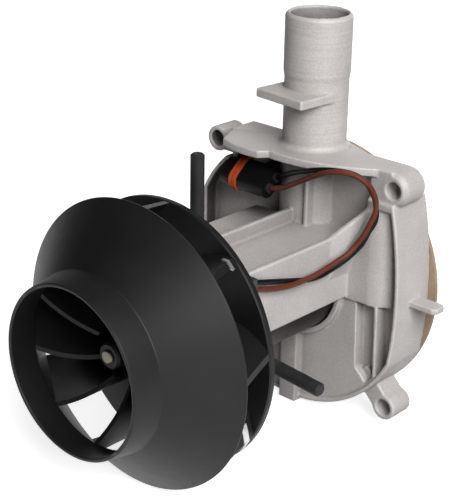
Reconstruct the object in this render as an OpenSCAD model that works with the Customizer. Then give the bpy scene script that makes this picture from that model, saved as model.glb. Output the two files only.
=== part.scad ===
// Parking heater blower: cast housing with intake pipe, motor on an arm, hot-air fan and side-channel wheel.
// Frame: origin on the shaft axis at the rear gasket face, +Y out of that face, +Z up along the intake pipe.

/* [Flange] */
// Radius of the round flange
flange_r = 52; // [50.5:0.5:56]
// Half width of the flange between its two sides
flange_half_w = 48.7; // [47.5:0.1:49.5]
// Depth of the cast flange along the shaft
flange_depth = 20; // [19.5:0.5:24]
// Height of the roof shelf above the shaft
roof_z = 52; // [51:0.5:54]
// Thickness of the roof shelf
roof_t = 3; // [2:0.5:4]
// Thickness of the rear gasket
gasket_t = 1.5; // [1:0.1:2.5]
// Distance of the bolt holes inside the flange's sides
hole_inset = 5.9; // [4.5:0.1:6.5]
// Height of the upper bolt holes
hole_top_z = 45.3; // [44.5:0.1:46]
// Depth of the lower bolt holes below the shaft
hole_low_z = 43; // [42:0.1:46]
// Radius of the bolt holes
hole_r = 3.2; // [2.6:0.05:3.6]

/* [Intake pipe] */
// Outer radius of the hose end
pipe_r = 12.5; // [11.5:0.1:13]
// Radius of the pipe bore
pipe_bore_r = 10.6; // [9:0.1:10.9]
// Height of the pipe mouth above the shaft
pipe_top_z = 102; // [96:1:115]
// Distance of the pipe axis in front of the gasket face
pipe_setback = 12.8; // [12.6:0.1:13.4]

/* [Arm and motor] */
// Length of the motor arm in front of the flange
arm_len = 60; // [56:1:70]
// Outer radius of the motor can
motor_r = 20.7; // [18:0.1:21]
// Radius of the motor shaft
shaft_r = 2.5; // [2:0.1:3]
// Radius of the rubber buffer rods
rod_r = 2.5; // [2:0.1:3]
// Reach of the upper buffer rod from the shaft
rod_reach = 62.6; // [50:0.2:66]

/* [Hot-air fan] */
// Length of the fan along the shaft
fan_len = 47.2; // [45:0.2:52]
// Free gap between the fan and the end of the arm
fan_gap = 8.8; // [7.5:0.1:12]
// Outer radius of the inlet collar
inlet_r = 31.4; // [30:0.1:33]
// Outer radius of the shroud rim
shroud_r = 53.2; // [51.5:0.1:58]
// Radius of the back plate
back_r = 49.5; // [47:0.1:51]
// Number of blades
blade_count = 9; // [7:1:10]
// Thickness of a blade
blade_t = 1.6; // [1.2:0.1:2]

/* [Combustion-air wheel] */
// Width of the land between the wheel and the round flange
wheel_land = 13.5; // [13.2:0.1:15]
// Thickness of the side-channel wheel
wheel_t = 5.4; // [4.5:0.1:5.6]
// Number of vanes on the wheel
vane_count = 24; // [16:1:30]

/* [Plug and leads] */
// Radius of the plug body
plug_r = 5.2; // [4.8:0.1:5.4]
// Radius of the insulated leads
wire_r = 1; // [0.8:0.1:1.1]

/* [Hidden] */
$fn = 64;

// Overlap that joins solids of one casting, and a cut's reach past a face
lap = 0.5;
past = 1;

// Stations along the shaft
run_gap = 0.3;
cover_t = 4;
web_t = 4.5;
face_y = -gasket_t;
front_y = face_y - flange_depth;
cover_y = face_y - cover_t;
wheel_rear_y = cover_y - run_gap;
wheel_front_y = wheel_rear_y - wheel_t;
floor_y = wheel_front_y - run_gap;
seat_y = floor_y - web_t;
arm_front_y = front_y - arm_len;
fan_back_y = arm_front_y - fan_gap;
fan_front_y = fan_back_y - fan_len;
pipe_y = -pipe_setback;

// Flange, ears and roof
upper_r = flange_r + 2.5;
side_r = 160;
side_z = 2;
shoulder_z = hole_top_z - 5.3;
crown_half_w = 40;
hole_x = flange_half_w - hole_inset;
ear_t = 13;
ear_bevel = 2;
ear_wall = 1.85;
ear_r = hole_r + ear_wall;
ear_front_y = front_y + 1.2;
low_ear_front_y = front_y + 3.6;
low_ear_t = 11;
corner_r = roof_z - hole_top_z;
corner_x = flange_half_w - corner_r;
rim_w = 1.6;
panel_y = front_y + 1;
under_roof_z = roof_z - roof_t;
roof_low_z = hole_top_z - 6;
roof_left_x = 14.5 - flange_half_w;
roof_arc_r = 57.6;
roof_front_y = front_y - 11.5;
bulge_arc_r = 35.3;
bulge_reach = 15;
bulge_front_y = front_y - bulge_reach;

// Bowed panel beside the arm and the pockets below it
panel_bow_r = 12.7;
panel_proud = 0.12;
panel_in = 15.5;
panel_x = flange_half_w - panel_in;
pocket_top_z = -1.6;
panel_low_z = pocket_top_z - 0.8;
pocket_low_z = -34;
pocket_y = front_y + 7.5;
rib_1_x = 29.6;
rib_2_x = 37.7;
rib_w = 1.4;
rib_lean = 0.9;

// Side channel and cover
wheel_r = flange_r - wheel_land;
channel_r = 3;
channel_wall = 1.3;
channel_mid_r = wheel_r - 4.5;
chamber_r = wheel_r + 0.8;
cover_r = wheel_r + 6.5;
recess_y = floor_y - channel_r - channel_wall;
gasket_in_r = cover_r + 1;
gasket_r = flange_r - 0.2;
port_r = 6;
port_angle = -55;
cover_screw_r = 1.5;
cover_screw_mid_r = wheel_r + 3.8;
cover_screw_bite = 7;

// Intake pipe
pipe_neck_r = pipe_r - 0.4;
pipe_neck_z = 80;
duct_r = pipe_bore_r - 1.1;
duct_low_z = channel_mid_r;
tab_top_z = 74;
tab_t = 3.4;
tab_half_w = 12;
tab_reach = 19.5;
tab_turn = -6;
rear_flat_z = roof_z + 6;

// Arm
cradle_r = motor_r + 0.4;
arm_top_z = cradle_r + 2.6;
arm_half_w = cradle_r + 4.4;
arm_low_z = -1;
arm_chamfer = 5;
arm_ring_len = 10;
arm_ring_r = arm_half_w - 0.5;
bead_w = 2;
bead_h = 1.8;
rib_h = 5.2;
flare_len = 10;
flare_x = flange_half_w - 13.9;
flare_z = 37;
flare_low_z = 9;
flare_wall = 1.8;
collar_r = cradle_r + 2.1;

// Buffer rods
rod_y = arm_front_y + 5;
rod_boss_r = rod_r + 2;
rod_boss_h = 6.3;
rod_fit = 0.1;
rod_foot = arm_top_z + 1.3;
side_rod_tilt = 5;
side_rod_z = -2.5;
side_rod_foot = arm_half_w - 0.5;
side_rod_reach = rod_reach - 4;

// Motor
can_wall = 1.6;
can_in_r = motor_r - can_wall;
cap_flange_t = 2.5;
cap_body_t = 6;
can_front_y = arm_front_y + cap_body_t;
can_rear_y = seat_y - 4;
bearing_r = shaft_r + 3.5;
bearing_w = 5;
bearing_fit = 0.05;
cap_boss_t = 3;
cap_screw_r = 1.25;
cap_screw_bite = 6;
cap_screw_mid_r = cradle_r + 1.7;
cap_screw_angles = [30, 150, 270];
cap_flange_r = arm_ring_r - 0.3;
lug_x = arm_half_w + 4.2;
lug_back_y = arm_front_y + 4;
lug_low_z = 17;
lug_top_z = 25;
magnet_t = 3.2;
magnet_over = 2;
magnet_in_r = can_in_r - magnet_t;
core_r = magnet_in_r - 0.6;
core_front_room = 15;
core_rear_room = 9;
core_front_y = can_front_y + core_front_room;
core_rear_y = can_rear_y - core_rear_room;
slot_count = 7;
slot_r = 1.9;
slot_mid_r = core_r - 3.6;
turn_h = 5;
turn_in = 3.4;
turn_out = 2.2;
turn_bulge = 1.2;
comm_r = 6;
comm_front_y = can_front_y + 1.5;
comm_rear_y = core_front_y - turn_h - 1;
brush_half_w = 2.4;
brush_r = comm_r + 0.1;
brush_back_r = brush_r + 6;
brush_y = (comm_front_y + comm_rear_y) / 2;

// Fan
shaft_inset = 17;
collar_len = 11;
fold_r = inlet_r + 1.6;
shroud_len = 29.6;
wall_t = 1.6;
hub_r = 5;
hub_front_y = fan_front_y + shaft_inset + 1;
plate_t = 2.2;
plate_front_y = fan_back_y - plate_t;
hub_flare_r = 32;
hub_flare_y = hub_front_y + 7;
hub_len = 17;
hub_rear_y = hub_front_y + hub_len;
hub_steps = 9;
hub_curve = [for (i = [0 : hub_steps]) let (a = 90 * i / hub_steps)
  [hub_r + (hub_flare_r - hub_r) * (1 - cos(a)), hub_flare_y + (plate_front_y - hub_flare_y) * sin(a)]];
fold_in = [fold_r - wall_t, fan_front_y + collar_len + 0.9];
rim_in = [shroud_r - 1, fan_front_y + shroud_len + 1.1];
blade_root = [-0.3, 0.8];
blade_tip_r = back_r - 0.2;
blade_arc_r = 33.8;
blade_angle = 41.3;
blade_sweep = 75;
blade_phase = 8.5;
clip_blades = [1, 8];
clip_from_back = [3, 2.6];
clip_len = [1.6, 2.6];
clip_sheet = 0.4;
clip_depth = [1.2, 4];

// Plug
plug_y = -27.2;
plug_z = 37.4;
plug_pitch = 5.2;
plug_turn = 40;
plug_tuck = 4.5;
plug_back_x = plug_tuck - pipe_r;
plug_seal_x = plug_back_x - 13;
plug_seal_w = 4;
plug_len = 22.5;
plug_nose_x = plug_back_x - plug_len;
plug_pad_w = 8;
terminal_short = 4;
bulge_x = plug_back_x - 6;
bulge_end_x = plug_back_x + 2.5;
seal_t = 0.9;
wire_seal_w = 1;
wire_exit_x = plug_back_x + wire_seal_w;
plug_body_r = plug_r - plug_pitch / 4;
plug_pad_y = plug_y + plug_r + 0.7;
way_y = plug_pitch / 2 * cos(plug_turn);
way_z = plug_pitch / 2 * sin(plug_turn);

// Lead routes from the plug to the motor, points chosen by hand along each lead
black_route = [[wire_exit_x, plug_y + way_y, plug_z + way_z], [3, -30, 44.5], [13.5, -33.5, 49],
  [21.5, -34, 51.5], [28.5, -33, 52.5], [33, -31, 52], [36, -29, 50], [37.5, -27, 47], [39, -26, 43.5],
  [39.5, -25.5, 40.5], [40, -25.5, 37.5], [39.5, -25.5, 34], [37.5, -26, 30], [35.5, -27, 25],
  [32, -27, 20.5], [30, -30, 17.5], [28, -34.5, 15], [27.5, -40.5, 14], [27, -47.5, 14.5], [27, -57, 17],
  [27.5, -69, 20.5], [28, lug_back_y, 23]];
brown_route = [[wire_exit_x, plug_y - way_y, plug_z - way_z], [0.5, -30.5, 38.5], [8.5, -32.5, 43],
  [16.5, -35, 47.5], [24, -36.5, 51.5], [31, -36, 53.5], [35.5, -34, 53], [38.5, -32, 51], [40, -30, 48.5],
  [41, -28.5, 45], [41.5, -28, 41.5], [41, -28, 38], [39.5, -28.5, 34], [37.5, -29, 29.5], [35, -30, 25],
  [33.5, -32.5, 22], [32, -36, 20], [31, -40, 18.5], [30, -45.5, 17], [29.5, -50.5, 16.5], [29.5, -56, 16.5],
  [29, -62.5, 17], [28, -69, 18], [28, -74, 19.5], [28, lug_back_y, 20]];
wire_steps = 3;
wire_sides = 8;

// A cylinder along the shaft direction
module disc(r, y0, y1, x = 0, z = 0) {
  translate([x, y0, z])
    rotate([-90, 0, 0])
      cylinder(r = r, h = y1 - y0);
}

// A box between opposite corners
module slab(x0, x1, y0, y1, z0, z1) {
  translate([x0, y0, z0])
    cube([x1 - x0, y1 - y0, z1 - z0]);
}

// A profile of [radius, station] points turned about the shaft
module turned(profile) {
  rotate([-90, 0, 0])
    rotate_extrude()
      polygon(profile);
}

// A flat outline in X and Z, extruded along the shaft
module plate(y0, y1) {
  translate([0, y1, 0])
    rotate([90, 0, 0])
      linear_extrude(y1 - y0)
        children();
}

// A copy on each side of the middle plane
module both_sides() {
  children();
  mirror([1, 0, 0])
    children();
}

// Outline of the flange: round below and on top, with a flat left side and a bowed right side
module flange_outline(inset = 0) {
  half_w = flange_half_w - inset;
  top_drop = 0.4;
  intersection() {
    circle(flange_r - inset);
    flange_side(inset);
    translate([-half_w, -flange_r])
      square([2 * flange_r, flange_r]);
  }
  intersection() {
    circle(flange_r - inset);
    translate([-crown_half_w, -lap])
      square([2 * crown_half_w, roof_z - inset - top_drop + lap]);
  }
  intersection() {
    circle(upper_r - inset);
    translate([-half_w, -lap])
      square([half_w, shoulder_z - inset + lap]);
  }
  intersection() {
    flange_side(inset);
    translate([0, -lap])
      square([flange_r, shoulder_z - inset + lap]);
  }
}

// Large circle that gives the flange its bowed right side
module flange_side(inset) {
  translate([flange_half_w - side_r, side_z])
    circle(side_r - inset, $fn = 160);
}

// Bar under the roof with the two upper ears at its ends
module roof_block() {
  neck_drop = 2.7;
  rear_y = front_y + ear_t;
  plate(ear_front_y, rear_y) {
    translate([roof_left_x, roof_low_z])
      square([corner_x - roof_left_x, roof_z - roof_low_z]);
    translate([-hole_x, roof_low_z + 2])
      square([hole_x + roof_left_x + lap, roof_z - neck_drop - roof_low_z - 2]);
    translate([-hole_x, hole_top_z])
      circle(ear_r);
  }
  translate([corner_x, ear_front_y, hole_top_z])
    rotate([-90, 0, 0])
      rotate_extrude()
        polygon([[0, 0], [corner_r - ear_bevel * 0.7, 0], [corner_r, ear_bevel],
          [corner_r, rear_y - ear_front_y], [0, rear_y - ear_front_y]]);
}

// Shelf in front of the roof bar: a shallow arc, and a bulge with a slanted end over the plug
module roof_shelf() {
  rear_y = ear_front_y + lap;
  slant = 0.85;
  translate([0, 0, under_roof_z])
    linear_extrude(roof_t) {
      intersection() {
        translate([0, roof_front_y + roof_arc_r])
          circle(roof_arc_r);
        translate([roof_left_x, roof_front_y - past])
          square([corner_x - roof_left_x, rear_y - roof_front_y + past]);
      }
      intersection() {
        translate([bulge_x, bulge_front_y + bulge_arc_r])
          circle(bulge_arc_r);
        polygon([[roof_left_x + 8.5, bulge_front_y - past],
          [bulge_end_x - slant * (roof_front_y - bulge_front_y + past), bulge_front_y - past],
          [bulge_end_x + slant * (rear_y - roof_front_y), rear_y], [roof_left_x, rear_y]]);
      }
    }
}

// One of the lower ears with its web to the ring
module low_ear() {
  reach = norm([hole_x, hole_low_z]);
  root = flange_r - 8;
  web_half_w = ear_r - 1;
  plate(low_ear_front_y, low_ear_front_y + low_ear_t) {
    translate([hole_x, -hole_low_z])
      circle(ear_r);
    rotate(-atan2(hole_low_z, hole_x))
      translate([root, -web_half_w])
        square([reach - root, 2 * web_half_w]);
  }
}

// Hollow under the roof and along the left side of the arm, open to the front
module roof_recess() {
  right_x = flare_x - flare_wall - 0.4;
  left_x = roof_left_x + 3.2;
  plate(front_y - past, recess_y)
    intersection() {
      union() {
        flange_outline(rim_w);
        translate([left_x, arm_top_z])
          square([right_x + past - left_x, under_roof_z + past - arm_top_z]);
      }
      polygon([[-flange_half_w, panel_low_z], [0, panel_low_z], [0, arm_top_z],
        [arm_half_w - bead_w, arm_top_z], [right_x, flare_z], [right_x, under_roof_z],
        [-flange_half_w, under_roof_z]]);
    }
}

// Two pockets with upright ribs beside them, below the panel
module side_pockets(rim) {
  plate(front_y - past, recess_y)
    polygon([[rib_1_x, pocket_top_z], [rib_2_x, pocket_top_z], [rib_2_x + rib_lean, pocket_low_z + 3],
      [rib_1_x + 6, pocket_low_z], [rib_1_x + rib_lean, pocket_low_z + 5]]);
  plate(front_y - past, pocket_y)
    intersection() {
      flange_outline(rim);
      polygon([[rib_2_x + rib_w, pocket_top_z], [flange_half_w, pocket_top_z], [flange_half_w, pocket_low_z],
        [rib_2_x + rib_w + rib_lean, pocket_low_z]]);
    }
}

// Lower front wall sunk a little behind the rim, and the panel that bows back to the rim on the right
module front_panels() {
  plate(front_y - past, panel_y)
    intersection() {
      flange_outline(rim_w);
      translate([-flange_half_w, -flange_r])
        square([2 * flange_half_w, flange_r + pocket_top_z - 0.3]);
    }
  difference() {
    plate(front_y - past, recess_y)
      intersection() {
        flange_outline(rim_w);
        translate([panel_x, panel_low_z])
          square([flange_half_w - panel_x, flare_z - panel_low_z]);
      }
    translate([panel_x, front_y - panel_proud + panel_bow_r, panel_low_z - past])
      cylinder(r = panel_bow_r, h = flare_z - panel_low_z + 2 * past);
  }
}

// Half-round groove of the side channel, stopped by a bridge between outlet and inlet
module channel_groove(y) {
  bridge_half_w = 5;
  difference() {
    translate([0, y, 0])
      rotate([-90, 0, 0])
        rotate_extrude()
          translate([channel_mid_r, 0])
            circle(channel_r);
    rotate([0, 30, 0])
      slab(0, flange_r, y - channel_r - past, y + channel_r + past, -bridge_half_w, bridge_half_w);
  }
}

// Intake pipe with a thicker hose end and a soft foot
module pipe_outer() {
  foot = 1.6;
  rim = 1.1;
  translate([0, pipe_y, 0])
    rotate_extrude()
      polygon([[0, arm_top_z], [pipe_r, arm_top_z], [pipe_r, roof_z - lap],
        [pipe_neck_r + foot, roof_z - lap], [pipe_neck_r + foot, roof_z],
        [pipe_neck_r + foot * 0.3, roof_z + foot * 0.5],
        [pipe_neck_r, roof_z + foot], [pipe_neck_r, pipe_neck_z - 2], [pipe_r, pipe_neck_z],
        [pipe_r, pipe_top_z - rim], [pipe_r - rim, pipe_top_z], [0, pipe_top_z]]);
}

// Pipe bore and the narrower duct down to the side channel
module pipe_inner() {
  rim = 0.6;
  translate([0, pipe_y, 0]) {
    translate([0, 0, roof_z])
      cylinder(r = pipe_bore_r, h = pipe_top_z);
    translate([0, 0, pipe_top_z - rim])
      cylinder(r1 = pipe_bore_r, r2 = pipe_bore_r + rim + past, h = rim + past);
    translate([0, 0, duct_low_z])
      cylinder(r = duct_r, h = roof_z);
  }
}

// Square tab on the front of the pipe
module pipe_tab() {
  translate([0, pipe_y, 0])
    rotate([0, 0, tab_turn])
      slab(-tab_half_w, tab_half_w, -tab_reach, 0, tab_top_z - tab_t, tab_top_z);
}

// Flat locating key on the right side of the flange
module side_key() {
  key_len = 11.8;
  key_w = 7;
  key_t = 2.3;
  key_y = face_y - 12.5;
  corner = 1.4;
  key_root = 1.5;
  side_x = min(flange_half_w, sqrt(flange_r * flange_r - key_t * key_t));
  root_x = side_x - key_root;
  tip_x = side_x + key_len;
  translate([0, key_y, -0.3])
    linear_extrude(key_t)
      polygon([[root_x, 0], [tip_x - corner, 0], [tip_x, corner], [tip_x, key_w - corner],
        [tip_x - corner, key_w], [root_x, key_w]]);
}

// Places children on the axis of the side buffer rod, with +X along the rod
module on_side_rod() {
  translate([0, rod_y, side_rod_z])
    rotate([0, side_rod_tilt, 0])
      children();
}

// Arm outside: trough with a middle rib and an edge bead, and a closed ring at its front end
module arm_outer() {
  plate(arm_front_y, front_y + lap)
    polygon([[-arm_half_w, arm_low_z], [arm_half_w, arm_low_z], [arm_half_w, arm_top_z + bead_h],
      [arm_half_w - bead_w, arm_top_z + bead_h], [arm_half_w - bead_w - 0.8, arm_top_z],
      [-arm_half_w + arm_chamfer, arm_top_z], [-arm_half_w, arm_top_z - arm_chamfer]]);
  disc(arm_ring_r, arm_front_y, arm_front_y + arm_ring_len);
  slab(-1, 1, arm_front_y + 2, pipe_y - pipe_r, arm_top_z - lap, arm_top_z + rib_h);
  translate([0, rod_y, cradle_r + past])
    cylinder(r = rod_boss_r, h = arm_top_z + rod_boss_h - cradle_r - past);
  on_side_rod()
    rotate([0, 90, 0])
      translate([0, 0, cradle_r + past])
        cylinder(r = rod_boss_r, h = arm_half_w + rod_boss_h - cradle_r - past - 1.5);
}

// Wall that flares from the arm's right edge out to the upper ear, with an upright foot on the panel
module arm_flare() {
  hull() {
    slab(arm_half_w - flare_wall, arm_half_w, front_y - flare_len - 1, front_y - flare_len, flare_low_z,
      arm_top_z + bead_h);
    plate(front_y, front_y + lap)
      flare_foot();
  }
  plate(front_y, recess_y + lap) {
    flare_foot();
    translate([arm_half_w - flare_wall, arm_low_z])
      square([flare_wall, flare_low_z - arm_low_z + lap]);
  }
}

// Slanted outline where the flared wall meets the panel
module flare_foot() {
  polygon([[arm_half_w - flare_wall, flare_low_z], [arm_half_w, flare_low_z], [flare_x, flare_z],
    [flare_x - flare_wall, flare_z]]);
}

// Upright boss on the front wall, collar round the motor hole, pad behind the plug and rib on the column
module front_details() {
  boss_half_w = 4;
  boss_h = 3.3;
  boss_foot = 0.8;
  column_rib_x = 6.4;
  column_rib_w = 1.8;
  slab(-boss_half_w, boss_half_w, panel_y - boss_h, panel_y + lap, -flange_r - boss_foot, -cradle_r);
  disc(collar_r, front_y - 1.3, panel_y + lap);
  slab(plug_back_x - 2 - plug_pad_w, plug_back_x - 2, plug_pad_y, recess_y + lap, plug_z - plug_pad_w / 2,
    plug_z + plug_pad_w / 2);
  slab(column_rib_x, column_rib_x + column_rib_w, pipe_y - pipe_r - 0.6, pipe_y, arm_top_z - lap,
    under_roof_z - 6);
}

// The whole casting
module blower_housing() {
  color([0.75, 0.74, 0.72])
  difference() {
    union() {
      difference() {
        union() {
          plate(front_y, face_y)
            flange_outline();
          roof_block();
        }
        roof_recess();
        side_pockets(rim_w);
        mirror([1, 0, 0])
          side_pockets(rim_w + 0.5);
        front_panels();
      }
      roof_shelf();
      pipe_outer();
      pipe_tab();
      both_sides()
        low_ear();
      side_key();
      arm_outer();
      arm_flare();
      front_details();
    }
    disc(cradle_r, arm_front_y - past, seat_y);
    disc(bearing_r + 1, seat_y - past, seat_y + 1.5);
    disc(shaft_r + 0.6, seat_y, floor_y + past);
    disc(chamber_r, floor_y, face_y + past);
    disc(cover_r + run_gap, cover_y, face_y + past);
    channel_groove(floor_y);
    slab(-flange_half_w, flange_half_w, face_y, pipe_r, 0, rear_flat_z);
    pipe_inner();
    on_plug()
      two_way_bar(plug_back_x - 1.8, plug_back_x + run_gap, plug_body_r + run_gap);
    for (side = [-1, 1]) {
      disc(hole_r, front_y - past, front_y + ear_t + past, side * hole_x, hole_top_z);
      disc(hole_r, low_ear_front_y - past, low_ear_front_y + low_ear_t + past, side * hole_x, -hole_low_z);
    }
    for (turn = [45 : 90 : 315])
      rotate([0, turn, 0])
        disc(cover_screw_r + 0.1, cover_y - cover_screw_bite - past, cover_y + past, cover_screw_mid_r);
    for (turn = cap_screw_angles)
      rotate([0, -turn, 0])
        disc(cap_screw_r + 0.1, arm_front_y - past, arm_front_y + cap_screw_bite + past, cap_screw_mid_r);
    translate([0, rod_y, rod_foot])
      cylinder(r = rod_r + rod_fit, h = rod_reach);
    on_side_rod()
      rotate([0, 90, 0])
        translate([0, 0, side_rod_foot])
          cylinder(r = rod_r + rod_fit, h = rod_reach);
  }
}

// Rear cover of the side channel with the air outlet
module channel_cover() {
  color([0.7, 0.7, 0.69])
  difference() {
    disc(cover_r, cover_y, face_y);
    intersection() {
      channel_groove(cover_y);
      disc(cover_r, cover_y - past, cover_y + channel_r - 0.8);
    }
    rotate([0, -port_angle, 0])
      disc(port_r, cover_y - past, face_y + past, channel_mid_r);
    for (turn = [45 : 90 : 315])
      rotate([0, turn, 0])
        disc(cover_screw_r + 0.1, cover_y - past, face_y + past, cover_screw_mid_r);
  }
}

// A pan-head screw along the shaft direction with its head toward one end
module screw(r, length, head_r, head_h, slot_w) {
  difference() {
    union() {
      cylinder(r = r, h = length);
      translate([0, 0, length])
        cylinder(r = head_r, h = head_h);
    }
    for (turn = [0, 90])
      rotate([0, 0, turn])
        translate([-head_r * 0.6, -slot_w / 2, length + head_h * 0.4])
          cube([head_r * 1.2, slot_w, head_h]);
  }
}

module cover_screws() {
  color([0.6, 0.6, 0.62])
  for (turn = [45 : 90 : 315])
    rotate([0, turn, 0])
      translate([cover_screw_mid_r, cover_y - cover_screw_bite, 0])
        rotate([-90, 0, 0])
          screw(cover_screw_r, cover_t + cover_screw_bite, 2.6, gasket_t * 0.8, 0.7);
}

module flange_gasket() {
  color([0.63, 0.54, 0.43])
  difference() {
    disc(gasket_r, face_y, 0);
    disc(gasket_in_r, face_y - past, past);
  }
}

module motor_can() {
  color([0.2, 0.19, 0.18])
  difference() {
    disc(motor_r, can_front_y, can_rear_y);
    disc(can_in_r, can_front_y - past, can_rear_y + past);
  }
}

// Front end cap with its flange on the arm, bearing boss, brush guides and lead terminals
module motor_front_cap() {
  guide_wall = 1.2;
  color([0.12, 0.12, 0.12])
  difference() {
    union() {
      disc(cap_flange_r, arm_front_y - cap_flange_t, arm_front_y);
      disc(motor_r, arm_front_y, can_front_y);
      disc(bearing_r + 2, arm_front_y - cap_flange_t - cap_boss_t, arm_front_y);
      slab(10, lug_x, arm_front_y - cap_flange_t, arm_front_y, lug_low_z, lug_top_z);
      slab(arm_half_w + run_gap, lug_x, arm_front_y - cap_flange_t, lug_back_y, lug_low_z, lug_top_z);
      both_sides()
        slab(brush_r + 1, can_in_r - 1.5, can_front_y - lap, brush_y + brush_half_w + guide_wall,
          -brush_half_w - guide_wall, brush_half_w + guide_wall);
    }
    disc(shaft_r + 0.6, arm_front_y - 12, can_front_y + past);
    disc(bearing_r, arm_front_y - cap_flange_t - cap_boss_t - past,
      arm_front_y - cap_flange_t - cap_boss_t + bearing_w);
    for (turn = cap_screw_angles)
      rotate([0, -turn, 0])
        disc(cap_screw_r + 0.1, arm_front_y - cap_flange_t - past, arm_front_y + past, cap_screw_mid_r);
    both_sides()
      slab(brush_r, can_in_r - 3, brush_y - brush_half_w, brush_y + brush_half_w, -brush_half_w,
        brush_half_w);
  }
}

module motor_rear_cap() {
  boss_y = seat_y - bearing_w - 1;
  color([0.3, 0.3, 0.31])
  difference() {
    union() {
      disc(motor_r, can_rear_y, seat_y);
      disc(bearing_r + 2, boss_y, seat_y);
    }
    disc(bearing_r, seat_y - bearing_w, seat_y + past);
    disc(shaft_r + 0.6, boss_y - past, seat_y);
  }
}

module motor_screws() {
  color([0.6, 0.6, 0.62])
  for (turn = cap_screw_angles)
    rotate([0, -turn, 0])
      translate([cap_screw_mid_r, arm_front_y + cap_screw_bite, 0])
        rotate([90, 0, 0])
          screw(cap_screw_r, cap_screw_bite + cap_flange_t, 1.8, 1.6, 0.6);
}

// Two arc magnets against the can wall
module motor_magnets() {
  gap_half_w = 5;
  front = core_front_y - magnet_over;
  rear = core_rear_y + magnet_over;
  color([0.25, 0.25, 0.26])
  difference() {
    disc(can_in_r, front, rear);
    disc(magnet_in_r, front - past, rear + past);
    slab(-motor_r, motor_r, front - past, rear + past, -gap_half_w, gap_half_w);
  }
}

// Carbon brushes, hollowed at their inner ends to the commutator
module motor_brushes() {
  color([0.15, 0.15, 0.16])
  difference() {
    both_sides()
      slab(comm_r - past, brush_back_r, brush_y - brush_half_w, brush_y + brush_half_w, -brush_half_w,
        brush_half_w);
    disc(brush_r, comm_front_y - past, comm_rear_y + past);
  }
}

// Closely wound springs behind the brushes
module brush_springs() {
  coil_r = 1.6;
  strand_r = 0.35;
  length = can_in_r - 3 - brush_back_r;
  coils = floor(length / (2 * strand_r) * 1.1);
  pitch = (length - 2 * strand_r) / (coils - 1);
  color([0.7, 0.7, 0.72])
  both_sides()
    translate([brush_back_r + strand_r, brush_y, 0])
      rotate([0, 90, 0])
        for (coil = [0 : coils - 1])
          translate([0, 0, coil * pitch])
            rotate_extrude($fn = 32)
              translate([coil_r, 0])
                circle(strand_r, $fn = 16);
}

// Sleeve bearing with a running fit on the shaft
module sleeve(y0, y1) {
  difference() {
    disc(bearing_r, y0, y1);
    disc(shaft_r + bearing_fit, y0 - past, y1 + past);
  }
}

module front_bearing() {
  front = arm_front_y - cap_flange_t - cap_boss_t;
  color([0.7, 0.55, 0.3])
    sleeve(front, front + bearing_w);
}

module rear_bearing() {
  color([0.7, 0.55, 0.3])
    sleeve(seat_y - bearing_w, seat_y);
}

// A blunt rubber rod along +Z from its foot
module buffer_rod(length) {
  tip = 0.6;
  rotate_extrude()
    polygon([[0, 0], [rod_r, 0], [rod_r, length - tip], [rod_r - tip, length], [0, length]]);
}

module buffer_rod_top() {
  color([0.1, 0.1, 0.1])
    translate([0, rod_y, rod_foot])
      buffer_rod(rod_reach - rod_foot);
}

module buffer_rod_side() {
  color([0.1, 0.1, 0.1])
    on_side_rod()
      translate([side_rod_foot, 0, 0])
        rotate([0, 90, 0])
          buffer_rod(side_rod_reach - side_rod_foot);
}

// Places children on the plug axis, with the two ways side by side along Y
module on_plug() {
  translate([0, plug_y, plug_z])
    rotate([plug_turn, 0, 0])
      children();
}

// A bar along X with two round edges, one round each way of the plug
module two_way_bar(x0, x1, r) {
  half = plug_pitch / 2;
  for (side = [-half, half])
    translate([x0, side, 0])
      rotate([0, 90, 0])
        cylinder(r = r, h = x1 - x0);
  slab(x0, x1, -half, half, -r, r);
}

module connector_body() {
  way_r = 1.5;
  color([0.08, 0.08, 0.08])
  difference() {
    union() {
      on_plug() {
        two_way_bar(plug_nose_x, plug_back_x, plug_body_r - seal_t);
        two_way_bar(plug_seal_x, plug_back_x, plug_body_r);
        two_way_bar(plug_seal_x - plug_seal_w - 2, plug_seal_x - plug_seal_w, plug_body_r);
      }
      slab(plug_back_x - 2 - plug_pad_w, plug_back_x - 2, plug_y, plug_pad_y, plug_z - plug_pad_w / 2,
        plug_z + plug_pad_w / 2);
    }
    on_plug()
      for (side = [-1, 1])
        translate([plug_nose_x - past, side * plug_pitch / 2, 0])
          rotate([0, 90, 0])
            cylinder(r = way_r, h = plug_back_x - plug_nose_x + 2 * past);
  }
}

module connector_seal() {
  x0 = plug_seal_x - plug_seal_w;
  color([0.75, 0.25, 0.1])
  on_plug()
    difference() {
      union() {
        two_way_bar(x0, plug_seal_x, plug_body_r - seal_t / 2);
        for (rib = [0 : 1])
          two_way_bar(x0 + 0.3 + rib * 2, x0 + 1.7 + rib * 2, plug_body_r + 0.4);
      }
      two_way_bar(x0 - past, plug_seal_x + past, plug_body_r - seal_t);
    }
}

module connector_terminals() {
  terminal_r = 1.5;
  bore_r = 0.8;
  bore_len = 8;
  color([0.75, 0.65, 0.4])
  on_plug()
    for (side = [-1, 1])
      translate([plug_nose_x + 1, side * plug_pitch / 2, 0])
        rotate([0, 90, 0])
          difference() {
            cylinder(r = terminal_r, h = plug_back_x - plug_nose_x - terminal_short);
            translate([0, 0, -past])
              cylinder(r = bore_r, h = bore_len);
          }
}

module wire_seals() {
  color([0.35, 0.35, 0.36])
  on_plug()
    for (side = [-1, 1])
      translate([plug_back_x, side * plug_pitch / 2, 0])
        rotate([0, 90, 0])
          cylinder(r = 1.9, h = wire_seal_w);
}

// Point on a smooth curve through four neighbouring route points
function smooth_point(a, b, c, d, t) =
  0.5 * (2 * b + (c - a) * t + (2 * a - 5 * b + 4 * c - d) * t * t + (3 * b - a - 3 * c + d) * t * t * t);
// Route with one more point added past each end
function extended(p) = concat([2 * p[0] - p[1]], p, [2 * p[len(p) - 1] - p[len(p) - 2]]);
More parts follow.
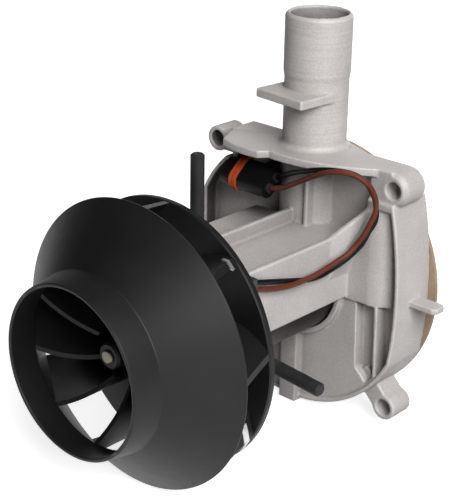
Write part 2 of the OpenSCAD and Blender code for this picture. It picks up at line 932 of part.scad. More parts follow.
// Smooth curve through all the points of a route
function smooth_path(p) = let (e = extended(p)) concat(
  [for (i = [1 : len(p) - 1], s = [0 : wire_steps - 1])
    smooth_point(e[i - 1], e[i], e[i + 1], e[i + 2], s / wire_steps)], [p[len(p) - 1]]);
function unit(v) = v / norm(v);
// Direction of travel at each point of a path
function headings(q) = [for (i = [0 : len(q) - 1])
  unit(q[min(i + 1, len(q) - 1)] - q[max(i - 1, 0)])];
// A side direction carried along a path without twisting
function sides(h) = [for (i = 0, n = unit(cross(h[0], [0, 0, 1])); i < len(h);
  i = i + 1, n = i < len(h) ? unit(n - (n * h[i]) * h[i]) : n) n];

// A round lead swept along a route
module lead(route, r) {
  path = smooth_path(route);
  h = concat([[1, 0, 0]], [for (i = [1 : len(path) - 2]) headings(path)[i]], [[0, -1, 0]]);
  n = sides(h);
  k = wire_sides;
  rings = len(path);
  points = [for (i = [0 : rings - 1], j = [0 : k - 1])
    path[i] + r * (cos(360 * j / k) * n[i] + sin(360 * j / k) * cross(h[i], n[i]))];
  walls = [for (i = [0 : rings - 2], j = [0 : k - 1])
    [i * k + j, (i + 1) * k + j, (i + 1) * k + (j + 1) % k, i * k + (j + 1) % k]];
  start = [for (j = [0 : k - 1]) j];
  end = [for (j = [k - 1 : -1 : 0]) (rings - 1) * k + j];
  polyhedron(points, concat(walls, [start, end]));
}

module wire_black() {
  color([0.06, 0.06, 0.06])
    lead(black_route, wire_r);
}

module wire_brown() {
  color([0.4, 0.2, 0.15])
    lead(brown_route, wire_r);
}

module motor_shaft() {
  tip = 0.4;
  front = fan_front_y + shaft_inset;
  rear = wheel_rear_y;
  color([0.75, 0.75, 0.76])
    turned([[0, front], [shaft_r - tip, front], [shaft_r, front + tip], [shaft_r, rear - tip],
      [shaft_r - tip, rear], [0, rear]]);
}

// Slotted lamination stack
module armature_core() {
  mouth = 1.4;
  color([0.45, 0.45, 0.47])
  difference() {
    disc(core_r, core_front_y, core_rear_y);
    disc(shaft_r, core_front_y - past, core_rear_y + past);
    for (slot = [0 : slot_count - 1])
      rotate([0, slot * 360 / slot_count, 0]) {
        disc(slot_r, core_front_y - past, core_rear_y + past, slot_mid_r);
        slab(slot_mid_r, core_r + past, core_front_y - past, core_rear_y + past, -mouth / 2, mouth / 2);
      }
  }
}

// Copper in the slots with its end turns
module armature_winding() {
  turn_in_r = slot_mid_r - turn_in;
  turn_out_r = slot_mid_r + turn_out;
  bulge = turn_bulge;
  color([0.7, 0.4, 0.2]) {
    turned([[turn_in_r, core_front_y], [turn_in_r, core_front_y - turn_h + bulge],
      [turn_in_r + bulge, core_front_y - turn_h], [turn_out_r - bulge, core_front_y - turn_h],
      [turn_out_r, core_front_y - turn_h + bulge], [turn_out_r, core_front_y]]);
    turned([[turn_in_r, core_rear_y], [turn_out_r, core_rear_y], [turn_out_r, core_rear_y + turn_h - bulge],
      [turn_out_r - bulge, core_rear_y + turn_h], [turn_in_r + bulge, core_rear_y + turn_h],
      [turn_in_r, core_rear_y + turn_h - bulge]]);
    for (slot = [0 : slot_count - 1])
      rotate([0, slot * 360 / slot_count, 0])
        disc(slot_r - 0.1, core_front_y - lap, core_rear_y + lap, slot_mid_r);
  }
}

// Copper commutator with its bar gaps
module commutator() {
  gap_w = 0.5;
  gap_depth = 1.2;
  color([0.72, 0.45, 0.25])
  difference() {
    disc(comm_r, comm_front_y, comm_rear_y);
    disc(shaft_r, comm_front_y - past, comm_rear_y + past);
    for (bar = [0 : slot_count - 1])
      rotate([0, (bar + 0.5) * 360 / slot_count, 0])
        slab(comm_r - gap_depth, comm_r + past, comm_front_y - past, comm_rear_y + past, -gap_w / 2,
          gap_w / 2);
  }
}

// Shroud: inlet collar, fold and cone
module fan_shroud() {
  y = fan_front_y;
  lip = 0.4;
  color([0.1, 0.1, 0.11])
    turned([[inlet_r - wall_t + lip, y], [inlet_r - lip, y], [inlet_r, y + lip], [fold_r, y + collar_len],
      [shroud_r, y + shroud_len], rim_in, fold_in, [inlet_r - wall_t, y + lip]]);
}

// Hub that flares out into the back plate
module fan_hub() {
  back = [for (i = [hub_steps : -1 : 3]) hub_curve[i] + [-0.6, plate_t]];
  turned(concat([[shaft_r, hub_front_y], [hub_r - 0.8, hub_front_y], [hub_r, hub_front_y + 0.8]], hub_curve,
    [[back_r - 0.5, plate_front_y], [back_r, plate_front_y + 0.5], [back_r, fan_back_y]], back,
    [[hub_r + 0.5, hub_rear_y], [shaft_r, hub_rear_y]]));
}

// Middle of a blade's arc, seen along the shaft
function blade_centre() = [back_r - blade_arc_r * cos(blade_angle), -blade_arc_r * sin(blade_angle)];
// A stretch of a blade's arc between two angles, seen along the shaft
module blade_arc(thick, from, to) {
  reach = 2 * blade_arc_r;
  steps = 4;
  translate(blade_centre())
    intersection() {
      difference() {
        circle(blade_arc_r + thick / 2, $fn = 96);
        circle(blade_arc_r - thick / 2, $fn = 96);
      }
      polygon(concat([[0, 0]], [for (i = [0 : steps]) let (a = from + (to - from) * i / steps)
        reach * [cos(a), sin(a)]]));
    }
}

// Radius of the blades' outer edge at a station between the back plate and the shroud rim
function blade_edge_r(y) =
  blade_tip_r + (rim_in[0] - blade_tip_r) * (plate_front_y - y) / (plate_front_y - rim_in[1]);

// All the blades, cut to the space between shroud and hub
module fan_blades() {
  root = [for (i = [hub_steps : -1 : 1]) hub_curve[i] + blade_root];
  intersection() {
    union()
      for (blade = [0 : blade_count - 1])
        rotate([0, -blade_phase - blade * 360 / blade_count, 0])
          plate(fan_front_y, fan_back_y)
            blade_arc(blade_t, blade_angle - 15, blade_angle + blade_sweep);
    turned(concat([fold_in, rim_in, [blade_tip_r, plate_front_y],
      [blade_tip_r, plate_front_y + blade_root[1]]], root));
  }
}

// Hub, back plate and blades in one moulding
module fan_wheel() {
  color([0.1, 0.1, 0.11])
  union() {
    fan_hub();
    fan_blades();
  }
}

// Sheet clips pushed over the outer edges of two blades
module balance_clips() {
  color([0.8, 0.8, 0.8])
  difference() {
    for (i = [0 : len(clip_blades) - 1]) {
      rear = plate_front_y - clip_from_back[i];
      front = rear - clip_len[i];
      rotate([0, -blade_phase - clip_blades[i] * 360 / blade_count, 0])
        intersection() {
          plate(front, rear)
            blade_arc(blade_t + 2 * clip_sheet, blade_angle - 15, blade_angle + blade_sweep);
          turned([[blade_edge_r(front) - clip_depth[i], front], [blade_edge_r(front) + clip_sheet, front],
            [blade_edge_r(rear) + clip_sheet, rear], [blade_edge_r(rear) - clip_depth[i], rear]]);
        }
    }
    fan_blades();
  }
}

// Side-channel wheel with vanes on both faces of its rim
module combustion_wheel() {
  web = 1.4;
  vane_w = 1.5;
  vane_in_r = channel_mid_r - 3.5;
  cut_t = (wheel_t - web) / 2;
  gap_angle = 360 / vane_count;
  gap_half_w = channel_mid_r * sin(gap_angle / 2) - vane_w / 2;
  color([0.2, 0.2, 0.21])
  difference() {
    disc(wheel_r, wheel_front_y, wheel_rear_y);
    disc(shaft_r, wheel_front_y - past, wheel_rear_y + past);
    for (vane = [0 : vane_count - 1])
      rotate([0, vane * gap_angle, 0]) {
        slab(vane_in_r, wheel_r + past, wheel_front_y - past, wheel_front_y + cut_t, -gap_half_w, gap_half_w);
        slab(vane_in_r, wheel_r + past, wheel_rear_y - cut_t, wheel_rear_y + past, -gap_half_w, gap_half_w);
      }
  }
}

blower_housing();
channel_cover();
cover_screws();
flange_gasket();
motor_can();
motor_front_cap();
motor_rear_cap();
motor_screws();
motor_magnets();
motor_brushes();
brush_springs();
front_bearing();
rear_bearing();
buffer_rod_top();
buffer_rod_side();
connector_body();
connector_seal();
connector_terminals();
wire_seals();
wire_black();
wire_brown();
motor_shaft();
armature_core();
armature_winding();
commutator();
fan_wheel();
fan_shroud();
balance_clips();
combustion_wheel();
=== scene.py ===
"""Looks of the parking heater blower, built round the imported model. Metres, same frame as the model."""
import math

import bmesh
import bpy
from mathutils import Matrix, Vector


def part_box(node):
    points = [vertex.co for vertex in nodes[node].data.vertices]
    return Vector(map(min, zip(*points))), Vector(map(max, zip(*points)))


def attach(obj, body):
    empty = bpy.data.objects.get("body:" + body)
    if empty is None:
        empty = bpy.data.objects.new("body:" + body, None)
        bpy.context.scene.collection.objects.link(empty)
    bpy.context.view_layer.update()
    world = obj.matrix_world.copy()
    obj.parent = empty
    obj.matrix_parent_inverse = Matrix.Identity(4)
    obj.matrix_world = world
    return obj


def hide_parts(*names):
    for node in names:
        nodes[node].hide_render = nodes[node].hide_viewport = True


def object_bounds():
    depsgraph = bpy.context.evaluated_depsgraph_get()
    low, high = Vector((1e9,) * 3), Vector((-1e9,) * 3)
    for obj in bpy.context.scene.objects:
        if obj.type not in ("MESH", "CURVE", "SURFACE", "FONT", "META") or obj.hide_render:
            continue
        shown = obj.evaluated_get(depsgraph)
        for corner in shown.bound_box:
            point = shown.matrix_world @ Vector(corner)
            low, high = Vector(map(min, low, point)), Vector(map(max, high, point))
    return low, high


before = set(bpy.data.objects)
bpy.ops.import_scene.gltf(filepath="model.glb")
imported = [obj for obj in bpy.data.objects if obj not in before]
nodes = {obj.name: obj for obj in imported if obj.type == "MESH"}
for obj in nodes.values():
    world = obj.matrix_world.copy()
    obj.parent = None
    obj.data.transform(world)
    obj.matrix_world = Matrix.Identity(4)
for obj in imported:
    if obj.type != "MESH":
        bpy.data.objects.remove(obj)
cad_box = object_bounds()
scene = bpy.context.scene

MM_PER_M = 1000


def add(name, data):
    """A new object with the given data, in the scene."""
    piece = bpy.data.objects.new(name, data)
    scene.collection.objects.link(piece)
    return piece


def close_mesh(shape, weld=None):
    """Join the points of a mesh within the weld distance, turn its faces outwards and shade it smooth."""
    work = bmesh.new()
    work.from_mesh(shape)
    if weld:
        bmesh.ops.remove_doubles(work, verts=work.verts, dist=weld)
    bmesh.ops.recalc_face_normals(work, faces=work.faces)
    work.to_mesh(shape)
    work.free()
    shape.shade_smooth()


# Camera: the view of the photograph, which is 455 by 496 pixels
AZIMUTH = math.radians(42.24)
ELEVATION = math.radians(22.36)
ROLL = math.radians(1.05)
DISTANCE = 0.53493
TARGET = Vector((-0.00986, -0.04946, 0.01667))
FOCAL_PX = 1433.06
IMAGE_H = 496
SENSOR_H = 24

# From the target to the camera, and the camera's right and up before its roll
back = Vector((math.sin(AZIMUTH) * math.cos(ELEVATION),
               -math.cos(AZIMUTH) * math.cos(ELEVATION),
               math.sin(ELEVATION)))
right = Vector((math.cos(AZIMUTH), math.sin(AZIMUTH), 0))
up = back.cross(right)
cam_x = math.cos(ROLL) * right + math.sin(ROLL) * up
cam_y = math.cos(ROLL) * up - math.sin(ROLL) * right
place = Matrix((cam_x, cam_y, back)).transposed().to_4x4()
place.translation = TARGET + DISTANCE * back
camera_data = bpy.data.cameras.new("camera")
camera_data.sensor_fit = "VERTICAL"
camera_data.sensor_height = SENSOR_H
camera_data.lens = SENSOR_H * FOCAL_PX / IMAGE_H
camera_data.clip_start = 0.01
camera = add("camera", camera_data)
camera.matrix_world = place
scene.camera = camera

# Leads: the same routes as the model's, in millimetres, from the plug to the motor's front cap
BLACK_ROUTE = [
    (-7, -25.208, 39.071), (3, -30, 44.5), (13.5, -33.5, 49), (21.5, -34, 51.5), (28.5, -33, 52.5),
    (33, -31, 52), (36, -29, 50), (37.5, -27, 47), (39, -26, 43.5), (39.5, -25.5, 40.5),
    (40, -25.5, 37.5), (39.5, -25.5, 34), (37.5, -26, 30), (35.5, -27, 25), (32, -27, 20.5),
    (30, -30, 17.5), (28, -34.5, 15), (27.5, -40.5, 14), (27, -47.5, 14.5), (27, -57, 17),
    (27.5, -69, 20.5), (28, -77.5, 23),
]
BROWN_ROUTE = [
    (-7, -29.192, 35.729), (0.5, -30.5, 38.5), (8.5, -32.5, 43), (16.5, -35, 47.5), (24, -36.5, 51.5),
    (31, -36, 53.5), (35.5, -34, 53), (38.5, -32, 51), (40, -30, 48.5), (41, -28.5, 45),
    (41.5, -28, 41.5), (41, -28, 38), (39.5, -28.5, 34), (37.5, -29, 29.5), (35, -30, 25),
    (33.5, -32.5, 22), (32, -36, 20), (31, -40, 18.5), (30, -45.5, 17), (29.5, -50.5, 16.5),
    (29.5, -56, 16.5), (29, -62.5, 17), (28, -69, 18), (28, -74, 19.5), (28, -77.5, 20),
]
ROUTE_STEPS = 6
WIRE_R = 0.001
WIRE_BEVEL = 4
WIRE_WELD = 1e-6


def smooth(points, steps):
    """Points on a smooth curve through all the given ones."""
    p = [Vector(q) for q in points]
    p = [2 * p[0] - p[1]] + p + [2 * p[-1] - p[-2]]
    out = []
    for i in range(1, len(p) - 2):
        a, b, c, d = p[i - 1:i + 3]
        for k in range(steps):
            t = k / steps
            out.append(0.5 * (2 * b + (c - a) * t + (2 * a - 5 * b + 4 * c - d) * t * t
                              + (3 * b - a - 3 * c + d) * t ** 3))
    return out + [p[-2]]


def lead(name, route):
    """A round lead along a route, as a closed tube."""
    points = [q / MM_PER_M for q in smooth(route, ROUTE_STEPS)]
    line = bpy.data.curves.new(name, "CURVE")
    line.dimensions = "3D"
    line.bevel_depth = WIRE_R
    line.bevel_resolution = WIRE_BEVEL
    line.use_fill_caps = True
    spline = line.splines.new("POLY")
    spline.points.add(len(points) - 1)
    for p, q in zip(spline.points, points):
        p.co = (*q, 1)
    drawn = bpy.data.objects.new(name + "_line", line)
    shape = bpy.data.meshes.new_from_object(drawn)
    bpy.data.objects.remove(drawn)
    close_mesh(shape, WIRE_WELD)
    piece = add(name, shape)
    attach(piece, "housing")
    return piece


black_lead = lead("black_lead", BLACK_ROUTE)
brown_lead = lead("brown_lead", BROWN_ROUTE)
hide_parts("wire_black")
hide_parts("wire_brown")

# Casting: the model's shape with the soft edges of a cast part
CAST_VOXEL = 0.0004
CAST_SMOOTHING = 0.5
CAST_PASSES = 4
CAST_KEEP = 0.22


def soft_copy(name, node):
    """A copy of a node with its edges rounded, by remeshing it finely and smoothing it."""
    piece = add(name, nodes[node].data.copy())
    remesh = piece.modifiers.new("remesh", "REMESH")
    remesh.mode = "VOXEL"
    remesh.voxel_size = CAST_VOXEL
    smoothing = piece.modifiers.new("smooth", "SMOOTH")
    smoothing.factor = CAST_SMOOTHING
    smoothing.iterations = CAST_PASSES
    fewer = piece.modifiers.new("fewer", "DECIMATE")
    fewer.ratio = CAST_KEEP
    graph = bpy.context.evaluated_depsgraph_get()
    shape = bpy.data.meshes.new_from_object(piece.evaluated_get(graph))
    piece.modifiers.clear()
    piece.data = shape
    shape.shade_smooth()
    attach(piece, "housing")
    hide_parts(node)
    return piece


casting = soft_copy("casting", "blower_housing")

# Fan shroud: the model's profile with rounded lips and a soft fold, turned finely round the shaft.
# Each corner is its radius, its distance behind the mouth and its rounding, in millimetres
MOUTH_Y = MM_PER_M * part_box("fan_shroud")[0][1]
SHROUD = [(29.85, 0, 0.6), (31.35, 0, 0.6), (33, 11, 0.9), (53.2, 29.6, 0.5), (52.2, 30.7, 0.5),
          (31.4, 11.9, 1.5)]
SHROUD_SEGMENTS = 192
ROUNDING_STEPS = 6


def rounded(corners, steps):
    """A closed outline through corners (radius, y, rounding), each corner replaced by an arc."""
    out = []
    for i, (r, y, size) in enumerate(corners):
        here = Vector((r, y))
        to_last = (Vector(corners[i - 1][:2]) - here).normalized()
        to_next = (Vector(corners[(i + 1) % len(corners)][:2]) - here).normalized()
        half = to_last.angle(to_next) / 2
        reach = size / math.tan(half)
        centre = here + (to_last + to_next).normalized() * size / math.sin(half)
        first = here + to_last * reach - centre
        last = here + to_next * reach - centre
        turn = first.angle_signed(last)
        for k in range(steps + 1):
            a = -turn * k / steps
            out.append(centre + Vector((first.x * math.cos(a) - first.y * math.sin(a),
                                        first.x * math.sin(a) + first.y * math.cos(a))))
    return out


def turned(name, outline, segments):
    """A closed outline of (radius, y) in millimetres turned round the shaft."""
    n = len(outline)
    verts = []
    faces = []
    for s in range(segments):
        a = 2 * math.pi * s / segments
        verts += [(q.x / MM_PER_M * math.cos(a), q.y / MM_PER_M, q.x / MM_PER_M * math.sin(a))
                  for q in outline]
        here, there = s * n, (s + 1) % segments * n
        for i in range(n):
            j = (i + 1) % n
            faces.append((here + i, here + j, there + j, there + i))
    shape = bpy.data.meshes.new(name)
    shape.from_pydata(verts, [], faces)
    shape.validate()
    close_mesh(shape)
    return add(name, shape)


corners = [(r, MOUTH_Y + y, rounding) for r, y, rounding in SHROUD]
shroud = turned("shroud", rounded(corners, ROUNDING_STEPS), SHROUD_SEGMENTS)
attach(shroud, "rotor")
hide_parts("fan_shroud")

# Materials
WHITE = (1, 1, 1)
# A Mix node's sockets for colours, which have the same names as those for numbers
MIX_A, MIX_B, MIX_RESULT = 6, 7, 2


def grey(level):
    """A colour without a hue."""
    return (level, level, level)


def map_range(tree, value, low, high, start, end):
    """A value that goes from low to high as the given one goes from start to end."""
    n = tree.nodes.new("ShaderNodeMapRange")
    n.inputs["From Min"].default_value = start
    n.inputs["From Max"].default_value = end
    n.inputs["To Min"].default_value = low
    n.inputs["To Max"].default_value = high
    tree.links.new(value, n.inputs["Value"])
    return n.outputs["Result"]


class Look:
    """A node material with a few helpers. Its plain values hold where nothing is linked to them."""

    def __init__(self, name, color, roughness, metallic=0.0):
        self.material = bpy.data.materials.new(name)
        self.material.use_nodes = True
        self.tree = self.material.node_tree
        self.shader = self.tree.nodes["Principled BSDF"]
        self.set("Base Color", (*color, 1))
        self.set("Roughness", roughness)
        self.set("Metallic", metallic)
        self.coords = self.tree.nodes.new("ShaderNodeTexCoord").outputs["Object"]

    def set(self, socket, value):
        """Give the shader a plain value."""
        self.shader.inputs[socket].default_value = value

    def link(self, a, b):
        """Link an output to an input."""
        self.tree.links.new(a, b)

    def color(self, output):
        """Give the shader its colour."""
        self.link(output, self.shader.inputs["Base Color"])

    def roughness(self, output):
        """Give the shader its roughness."""
        self.link(output, self.shader.inputs["Roughness"])

    def noise(self, scale, detail=4, rough=0.55, stretch=(1, 1, 1)):
        """A pattern of noise from 0 to 1, in the object's own frame."""
        mapping = self.tree.nodes.new("ShaderNodeMapping")
        mapping.inputs["Scale"].default_value = stretch
        self.link(self.coords, mapping.inputs["Vector"])
        n = self.tree.nodes.new("ShaderNodeTexNoise")
        n.inputs["Scale"].default_value = scale
        n.inputs["Detail"].default_value = detail
        n.inputs["Roughness"].default_value = rough
        self.link(mapping.outputs["Vector"], n.inputs["Vector"])
        return n.outputs["Fac"]

    def ramp(self, fac, stops):
        """A colour between stops (position, colour), looked up by a value."""
        n = self.tree.nodes.new("ShaderNodeValToRGB")
        while len(n.color_ramp.elements) < len(stops):
            n.color_ramp.elements.new(0.5)
        for e, (at, c) in zip(n.color_ramp.elements, stops):
            e.position = at
            e.color = (*c, 1)
        self.link(fac, n.inputs["Fac"])
        return n.outputs["Color"]

    def mottle(self, dark, light, scale, at=(0.35, 0.65), **noise):
        """A colour that changes between two tones by a pattern of noise."""
        return self.ramp(self.noise(scale, **noise), list(zip(at, (dark, light))))

    def span(self, value, low, high, start=0, end=1):
        """A value that goes from low to high as the given one goes from start to end."""
        return map_range(self.tree, value, low, high, start, end)

    def pointiness(self):
        """0.5 on flat faces, less in corners and more on edges."""
        return self.tree.nodes.new("ShaderNodeNewGeometry").outputs["Pointiness"]

    def multiply(self, a, b, amount=None):
        """One colour times another, by an amount from 0 to 1 if it is given."""
        n = self.tree.nodes.new("ShaderNodeMix")
        n.data_type = "RGBA"
        n.blend_type = "MULTIPLY"
        n.inputs["Factor"].default_value = 1.0
        if amount:
            self.link(amount, n.inputs["Factor"])
        self.link(a, n.inputs[MIX_A])
        self.link(b, n.inputs[MIX_B])
        return n.outputs[MIX_RESULT]

    def bump(self, height, strength, distance, after=None):
        """Give the shader small heights, on top of those of an earlier bump if it is given."""
        n = self.tree.nodes.new("ShaderNodeBump")
        n.inputs["Strength"].default_value = strength
        n.inputs["Distance"].default_value = distance
        self.link(height, n.inputs["Height"])
        if after:
            self.link(after, n.inputs["Normal"])
        self.link(n.outputs["Normal"], self.shader.inputs["Normal"])
        return n.outputs["Normal"]


# The casting has fine turned lines above the pipe's foot. Its hollows get painted shade within a reach,
# fully left of the shaft and by PAINTED_SHADE_RIGHT right of it, to come near the dark left hollow of the
# photograph
PIPE_FOOT_Z = (0.053, 0.058)
HOLLOW_REACH = 0.07
HOLLOW_SAMPLES = 8
PAINTED_SHADE_TONE = (0.075, 0.072, 0.07)
PAINTED_SHADE_FADE_X = (0.012, -0.012)
PAINTED_SHADE_RIGHT = 0.2
# Painted shade in concave corners
CORNER_SHADE_TONE = (0.62, 0.61, 0.60)
# Painted highlight on rims and folds of plastic
PAINTED_RIM_HIGHLIGHT = grey(7)


def cast_look(name, dark, light, edge):
    """Blasted casting: stains, sandy grain, lines on the pipe, painted shade in corners and hollows,
    lighter edges.
    """
    look = Look(name, light, roughness=0.5, metallic=0.1)
    look.set("Specular IOR Level", 0.3)
    stain = look.mottle(dark, light, scale=55, at=(0.3, 0.7))
    grain = look.mottle(grey(0.84), grey(1.08), scale=1500, at=(0.3, 0.7), detail=3, rough=0.7)
    lines = look.mottle(grey(0.93), grey(1.03), scale=1800, detail=2, rough=0.5,
                        stretch=(0.03, 0.03, 1))
    axes = look.tree.nodes.new("ShaderNodeSeparateXYZ")
    look.link(look.coords, axes.inputs["Vector"])
    on_pipe = look.span(axes.outputs["Z"], 0, 1, *PIPE_FOOT_Z)
    tone = look.multiply(look.multiply(stain, grain), lines, on_pipe)
    # Painted shade in concave corners, and lighter edges
    corner = look.ramp(look.pointiness(),
                       [(0.44, CORNER_SHADE_TONE), (0.49, WHITE), (0.515, WHITE), (0.56, edge)])
    # Painted shade in hollows, in full left of the shaft and less right of it
    hollow = look.tree.nodes.new("ShaderNodeAmbientOcclusion")
    hollow.inputs["Distance"].default_value = HOLLOW_REACH
    hollow.samples = HOLLOW_SAMPLES
    shade = look.ramp(hollow.outputs["AO"], [(0.22, PAINTED_SHADE_TONE), (0.72, WHITE)])
    shade_on_left = look.span(axes.outputs["X"], PAINTED_SHADE_RIGHT, 1, *PAINTED_SHADE_FADE_X)
    look.color(look.multiply(look.multiply(tone, corner), shade, shade_on_left))
    look.roughness(look.span(look.noise(900, detail=3), low=0.46, high=0.62))
    sand = look.bump(look.noise(2300, detail=3, rough=0.65), strength=0.28, distance=0.0002)
    look.bump(look.noise(170, detail=3), strength=0.1, distance=0.0006, after=sand)
    return look.material


def plastic_look(name, dark, light, roughness=(0.32, 0.5), specular=0.5, rim_highlight=None):
    """Moulded plastic with a fine grain, and with a painted highlight on rims and folds if that is given.
    """
    look = Look(name, light, roughness=0.4)
    look.set("Specular IOR Level", specular)
    tone = look.mottle(dark, light, scale=45)
    # Painted highlight on rims and folds
    if rim_highlight:
        tone = look.multiply(tone, look.ramp(look.pointiness(), [(0.52, WHITE), (0.62, rim_highlight)]))
    look.color(tone)
    look.roughness(look.span(look.noise(300), *roughness))
    look.bump(look.noise(2500, detail=2), strength=0.15, distance=0.0001)
    return look.material


def metal_look(name, dark, light, roughness=(0.2, 0.4), stretch=(1, 1, 1)):
    """Bare metal. A stretch above 1 packs its texture into lines across that axis."""
    look = Look(name, light, roughness=0.3, metallic=1.0)
    look.color(look.mottle(dark, light, scale=250))
    look.roughness(look.span(look.noise(700, detail=3, stretch=stretch), *roughness))
    look.bump(look.noise(1500, detail=2, stretch=stretch), strength=0.1, distance=0.0001)
    return look.material


def rubber_look(name, dark, light):
    """Dull rubber, fibre, carbon or ferrite."""
    look = Look(name, light, roughness=0.65)
    look.set("Specular IOR Level", 0.3)
    look.color(look.mottle(dark, light, scale=120))
    look.roughness(look.span(look.noise(600, detail=3), low=0.55, high=0.8))
    look.bump(look.noise(2200, detail=3), strength=0.2, distance=0.0001)
    return look.material


FAN_DARK = (0.005, 0.005, 0.0055)
FAN_LIGHT = (0.008, 0.008, 0.0085)
FAN_GLOSS = {"roughness": (0.45, 0.55), "specular": 0.3}
WIRE_GLOSS = {"roughness": (0.4, 0.55), "specular": 0.15}
PLUG_GLOSS = {"roughness": (0.35, 0.5), "specular": 0.15}
MATERIALS = {
    "cast": cast_look("cast_aluminium", (0.505, 0.473, 0.458), (0.582, 0.55, 0.535), (1.25, 1.24, 1.23)),
    "cover": cast_look("cover_aluminium", (0.52, 0.52, 0.51), (0.60, 0.60, 0.59), grey(1.1)),
    "fan": plastic_look("fan_plastic", FAN_DARK, FAN_LIGHT, **FAN_GLOSS),
    "shroud": plastic_look("shroud_plastic", FAN_DARK, FAN_LIGHT, **FAN_GLOSS, rim_highlight=PAINTED_RIM_HIGHLIGHT),
    "wheel": plastic_look("wheel_plastic", (0.02, 0.02, 0.022), (0.035, 0.035, 0.037)),
    "cap": plastic_look("cap_plastic", grey(0.014), grey(0.022), (0.45, 0.6)),
    "plug": plastic_look("plug_plastic", (0.003, 0.003, 0.0035), (0.005, 0.005, 0.0055), **PLUG_GLOSS),
    "can": metal_look("dark_can", (0.022, 0.02, 0.018), (0.04, 0.037, 0.034), (0.35, 0.5), (1, 12, 1)),
    "steel": metal_look("bright_steel", (0.55, 0.55, 0.56), grey(0.72)),
    "clip": metal_look("clip_steel", grey(0.6), grey(0.8), (0.45, 0.6)),
    "shaft": metal_look("shaft_steel", (0.15, 0.135, 0.11), (0.23, 0.21, 0.175), (0.35, 0.5)),
    "zinc": metal_look("zinc_cap", (0.38, 0.38, 0.39), (0.5, 0.5, 0.51), (0.35, 0.5)),
    "bronze": metal_look("sinter_bronze", (0.42, 0.27, 0.12), (0.52, 0.35, 0.17), (0.35, 0.55)),
    "copper": metal_look("copper", (0.6, 0.25, 0.12), (0.72, 0.34, 0.18), (0.25, 0.45)),
    "lamination": metal_look("lamination", (0.16, 0.16, 0.17), (0.26, 0.26, 0.27), (0.4, 0.6), (1, 40, 1)),
    "ferrite": rubber_look("ferrite", (0.03, 0.03, 0.032), (0.05, 0.05, 0.052)),
    "carbon": rubber_look("carbon", grey(0.012), grey(0.025)),
    "rubber": rubber_look("buffer_rubber", grey(0.01), grey(0.02)),
    "seal": rubber_look("seal_rubber", (0.36, 0.042, 0.014), (0.5, 0.072, 0.022)),
    "way_seal": rubber_look("way_seal", (0.012, 0.012, 0.013), (0.02, 0.02, 0.021)),
    "gasket": rubber_look("gasket_fibre", (0.30, 0.22, 0.15), (0.41, 0.315, 0.23)),
    "black": plastic_look("black_insulation", grey(0.003), grey(0.005), **WIRE_GLOSS),
    "brown": plastic_look("brown_insulation", (0.09, 0.021, 0.012), (0.15, 0.038, 0.022), **WIRE_GLOSS),
}
WEARS = {
    "blower_housing": "cast", "channel_cover": "cover", "cover_screws": "steel", "flange_gasket": "gasket",
    "motor_can": "can", "motor_front_cap": "cap", "motor_rear_cap": "zinc", "motor_screws": "steel",
    "motor_magnets": "ferrite", "motor_brushes": "carbon", "brush_springs": "steel",
    "front_bearing": "bronze", "rear_bearing": "bronze", "buffer_rod_top": "rubber",
    "buffer_rod_side": "rubber", "connector_body": "plug", "connector_seal": "seal",
    "connector_terminals": "copper", "wire_seals": "way_seal", "motor_shaft": "shaft",
    "armature_core": "lamination", "armature_winding": "copper", "commutator": "copper",
    "fan_wheel": "fan", "fan_shroud": "fan", "balance_clips": "clip", "combustion_wheel": "wheel",
    "wire_black": "black", "wire_brown": "brown",
}
worn = [(nodes[node], look) for node, look in WEARS.items()]
worn += [(black_lead, "black"), (brown_lead, "brown"), (casting, "cast"), (shroud, "shroud")]
for piece, look in worn:
    piece.data.materials.clear()
    piece.data.materials.append(MATERIALS[look])

# Stage: a pale floor that shows nearly white but keeps the shadow, white surroundings and soft lamps
FLOOR_GAP = 0.0005
FLOOR_Z = cad_box[0][2] - FLOOR_GAP
FLOOR_HALF = 3.0
FLOOR_GLOW = 0.75
FLOOR_BOUNCE = 0.12
AMBIENT = 0.035
ROOM = 0.06
# Cosines to the backdrop's middle at which the room ends and the backdrop is white
BACKDROP = (0.7, 0.98)


def seen_rays(tree):
    """1 for camera, glossy and transmission rays and 0 for the rest, and 1 for camera rays alone."""
    path = tree.nodes.new("ShaderNodeLightPath")
    total = path.outputs["Is Camera Ray"]
    for name in ("Is Glossy Ray", "Is Transmission Ray"):
        top = tree.nodes.new("ShaderNodeMath")
        top.operation = "MAXIMUM"
        tree.links.new(total, top.inputs[0])
        tree.links.new(path.outputs[name], top.inputs[1])
        total = top.outputs[0]
    return total, path.outputs["Is Camera Ray"]


def blend(tree, fac, low, high):
    """A value that goes from low to high, each a number or an output, as fac goes from 0 to 1."""
    n = tree.nodes.new("ShaderNodeMix")
    tree.links.new(fac, n.inputs["Factor"])
    for name, value in (("A", low), ("B", high)):
        if isinstance(value, bpy.types.NodeSocket):
            tree.links.new(value, n.inputs[name])
        else:
            n.inputs[name].default_value = value
    return n.outputs["Result"]


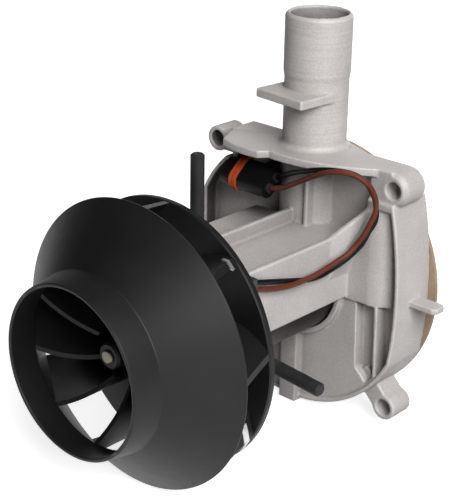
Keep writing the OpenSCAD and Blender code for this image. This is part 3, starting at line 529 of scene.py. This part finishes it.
# The backdrop stands behind the object as the photograph sees it, and the rest of the room is dim, so
# that is what metal mirrors. The camera sees white all round
world = bpy.data.worlds.new("studio")
world.use_nodes = True
tree = world.node_tree
facing = tree.nodes.new("ShaderNodeVectorMath")
facing.operation = "DOT_PRODUCT"
tree.links.new(tree.nodes.new("ShaderNodeTexCoord").outputs["Generated"], facing.inputs[0])
facing.inputs[1].default_value = (-back.x, -back.y, 0)
mirrored = map_range(tree, facing.outputs["Value"], ROOM, 1.0, *BACKDROP)
seen, by_camera = seen_rays(tree)
shown = blend(tree, by_camera, mirrored, 1.0)
tree.links.new(blend(tree, seen, AMBIENT, shown), tree.nodes["Background"].inputs["Strength"])
tree.nodes["Background"].inputs["Color"].default_value = (*WHITE, 1)
scene.world = world

floor_look = Look("floor_paper", grey(0.8), roughness=0.9)
floor_look.set("Specular IOR Level", 0.1)
floor_look.set("Emission Color", (*WHITE, 1))
paper = floor_look.mottle(grey(0.78), grey(0.8), scale=3)
seen, _ = seen_rays(floor_look.tree)
floor_look.color(floor_look.multiply(paper, blend(floor_look.tree, seen, FLOOR_BOUNCE, 1.0)))
glow = blend(floor_look.tree, seen, 0.0, FLOOR_GLOW)
floor_look.link(glow, floor_look.shader.inputs["Emission Strength"])
floor_shape = bpy.data.meshes.new("floor")
floor_corners = [(x * FLOOR_HALF, y * FLOOR_HALF, FLOOR_Z) for x, y in ((-1, -1), (1, -1), (1, 1), (-1, 1))]
floor_shape.from_pydata(floor_corners, [], [(0, 1, 2, 3)])
floor_shape.materials.append(floor_look.material)
floor = add("floor", floor_shape)

# Soft lamps: position, power in watts and size
LAMP_AIM = Vector((0, -0.06, 0.02))
LAMPS = {
    "key": ((0.88, -0.55, 0.72), 20, 0.65),
    "top": ((0.2, -0.1, 1.1), 1.2, 0.6),
    "rear": ((-0.4, 1.0, 0.15), 4, 0.7),
}
for name, (position, watts, size) in LAMPS.items():
    light = bpy.data.lights.new(name, "AREA")
    light.energy = watts
    light.size = size
    lamp = add(name, light)
    lamp.location = position
    lamp.rotation_euler = (LAMP_AIM - Vector(position)).to_track_quat("-Z", "Y").to_euler()

scene.view_settings.view_transform = "Standard"
